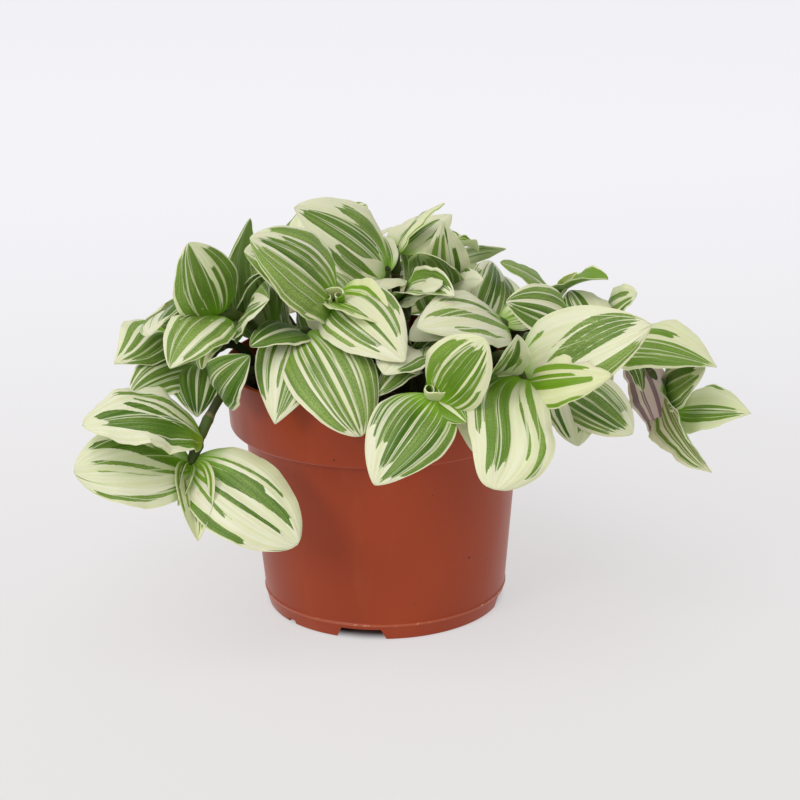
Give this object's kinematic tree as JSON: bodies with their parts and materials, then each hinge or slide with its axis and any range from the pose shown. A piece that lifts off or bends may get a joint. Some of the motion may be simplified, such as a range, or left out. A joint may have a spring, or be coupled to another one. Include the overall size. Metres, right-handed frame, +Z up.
{
  "type": "potted tradescantia",
  "caption": "Bushy white-striped trailing houseplant of leafy jointed shoots rooted in the soil of a round terracotta-coloured plastic nursery pot.",
  "frame": {"origin": "on the pot's axis at the floor, in the middle of its flat base", "axes": "+Z up along the pot's axis; -Y is the front that the picture shows; the hanging shoot is at -X"},
  "size_m": [0.2464, 0.2032, 0.1623],
  "materials": {
    "pot": "satin moulded plastic",
    "soil": "moist crumbly peat potting soil",
    "foliage": "satin fleshy leaf, green and cream stripes"
  },
  "bodies": {
    "root": {"pot": "pot", "soil": "soil", "shoot_back_inner_1": "foliage", "shoot_back_inner_2": "foliage", "shoot_back_inner_3": "foliage", "shoot_back_inner_4": "foliage", "shoot_back_inner_5": "foliage", "shoot_back_outer_1": "foliage", "shoot_back_outer_2": "foliage", "shoot_back_outer_3": "foliage", "shoot_back_outer_4": "foliage", "shoot_back_outer_5": "foliage", "shoot_back_outer_6": "foliage", "shoot_back_outer_7": "foliage", "shoot_centre_left": "foliage", "shoot_centre_low": "foliage", "shoot_centre_main": "foliage", "shoot_centre_right": "foliage", "shoot_crown_back": "foliage", "shoot_crown_far": "foliage", "shoot_crown_front": "foliage", "shoot_crown_right": "foliage", "shoot_front": "foliage", "shoot_front_between": "foliage", "shoot_front_right": "foliage", "shoot_hanging_left": "foliage", "shoot_left_far": "foliage", "shoot_left_front": "foliage", "shoot_left_low": "foliage", "shoot_left_upright": "foliage", "shoot_right_back": "foliage", "shoot_right_back_far": "foliage", "shoot_right_far": "foliage", "shoot_right_low": "foliage", "shoot_right_middle": "foliage", "shoot_right_upright": "foliage"}
  },
  "joints": []
}
